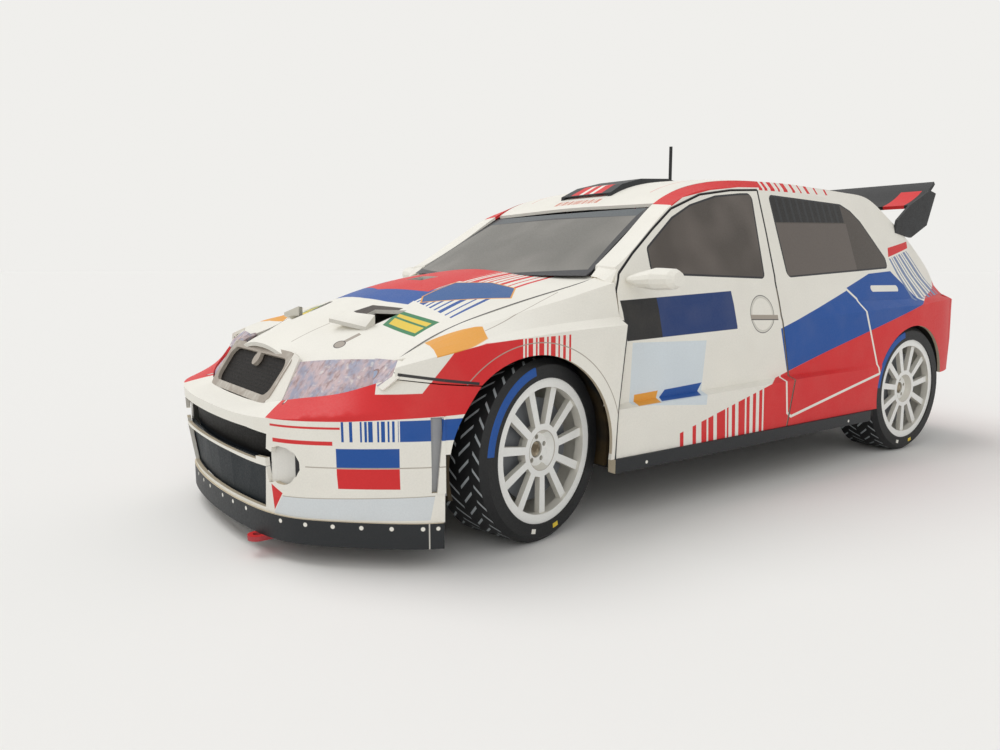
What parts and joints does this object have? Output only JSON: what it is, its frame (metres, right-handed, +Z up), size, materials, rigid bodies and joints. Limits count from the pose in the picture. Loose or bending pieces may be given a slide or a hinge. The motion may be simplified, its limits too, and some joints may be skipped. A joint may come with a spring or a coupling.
{
  "type": "card model of a rally car",
  "caption": "Scale model of a rally hatchback in folded printed card, with steered front wheels, spoked rims, roof scoop and rear wing on end plates.",
  "frame": {"origin": "on the ground under the middle of the car", "axes": "+X forward to the nose, +Y to the left side, +Z up"},
  "size_m": [0.1688, 0.0824, 0.0658],
  "materials": {
    "printed_card": "printed, satin",
    "window_card": "printed dark, satin",
    "headlight_card": "printed silver, satin",
    "tail_light_card": "printed red, satin",
    "black_card": "printed black, satin",
    "inner_card": "dark, matt",
    "axle_card": "rolled, matt",
    "tyre_card": "black, matt",
    "wheel_card": "white, satin",
    "disc_card": "printed grey, matt",
    "grille_card": "printed grey, satin",
    "mesh_card": "printed dark mesh, matt",
    "tow_card": "printed red, satin",
    "wire": "black wire"
  },
  "bodies": {
    "root": {"antenna": "wire", "body_side_left": "printed_card", "body_side_right": "printed_card", "bonnet": "printed_card", "fender_left": "printed_card", "fender_right": "printed_card", "floor": "inner_card", "front_axle": "axle_card", "front_bumper": "printed_card", "front_door_left": "printed_card", "front_door_right": "printed_card", "front_lip": "black_card", "front_wheel_housing_left": "inner_card", "front_wheel_housing_right": "inner_card", "front_window_left": "window_card", "front_window_right": "window_card", "grille_frame": "grille_card", "grille_mesh": "mesh_card", "grille_strip_left": "printed_card", "grille_strip_right": "printed_card", "headlight_left": "headlight_card", "headlight_right": "headlight_card", "intake_mesh": "mesh_card", "mirror_left": "printed_card", "mirror_right": "printed_card", "rear_axle": "axle_card", "rear_bumper": "printed_card", "rear_wheel_housing_left": "inner_card", "rear_wheel_housing_right": "inner_card", "rear_window_left": "window_card", "rear_window_right": "window_card", "roof": "printed_card", "roof_vent": "black_card", "sill_left": "black_card", "sill_right": "black_card", "tail_light_left": "tail_light_card", "tail_light_right": "tail_light_card", "tailgate": "printed_card", "tailgate_glass": "window_card", "tow_hook": "tow_card", "windscreen": "window_card", "wing_blade": "black_card", "wing_plate_left": "black_card", "wing_plate_right": "black_card"},
    "steering_knuckle_left": {"knuckle_left": "axle_card"},
    "front_wheel_left": {"front_tyre_left": "tyre_card", "front_rim_left": "wheel_card", "front_brake_disc_left": "disc_card"},
    "rear_wheel_left": {"rear_tyre_left": "tyre_card", "rear_rim_left": "wheel_card", "rear_brake_disc_left": "disc_card"},
    "steering_knuckle_right": {"knuckle_right": "axle_card"},
    "front_wheel_right": {"front_tyre_right": "tyre_card", "front_rim_right": "wheel_card", "front_brake_disc_right": "disc_card"},
    "rear_wheel_right": {"rear_tyre_right": "tyre_card", "rear_rim_right": "wheel_card", "rear_brake_disc_right": "disc_card"}
  },
  "joints": [
    {"name": "steer_left", "type": "hinge", "parent": "root", "child": "steering_knuckle_left", "pos_m": [0.0478, 0.0306, 0.01354], "axis": [0, 0, 1], "range_deg": [-27.8, 2.2]},
    {"name": "steer_right", "type": "hinge", "parent": "root", "child": "steering_knuckle_right", "pos_m": [0.0478, -0.0306, 0.01354], "axis": [0, 0, 1], "range_deg": [-27.8, 2.2]},
    {"name": "front_spin_left", "type": "hinge", "parent": "steering_knuckle_left", "child": "front_wheel_left", "pos_m": [0.0478, 0.0306, 0.01354], "axis": [-0.2215, 0.9751, 0], "continuous": true},
    {"name": "rear_spin_left", "type": "hinge", "parent": "root", "child": "rear_wheel_left", "pos_m": [-0.0548, 0.0306, 0.01354], "axis": [0, 1, 0], "continuous": true},
    {"name": "front_spin_right", "type": "hinge", "parent": "steering_knuckle_right", "child": "front_wheel_right", "pos_m": [0.0478, -0.0306, 0.01354], "axis": [-0.2215, 0.9751, 0], "continuous": true},
    {"name": "rear_spin_right", "type": "hinge", "parent": "root", "child": "rear_wheel_right", "pos_m": [-0.0548, -0.0306, 0.01354], "axis": [0, 1, 0], "continuous": true}
  ],
  "couplings": [
    {"joint": "steer_right", "follows": "steer_left", "ratio": 1}
  ]
}
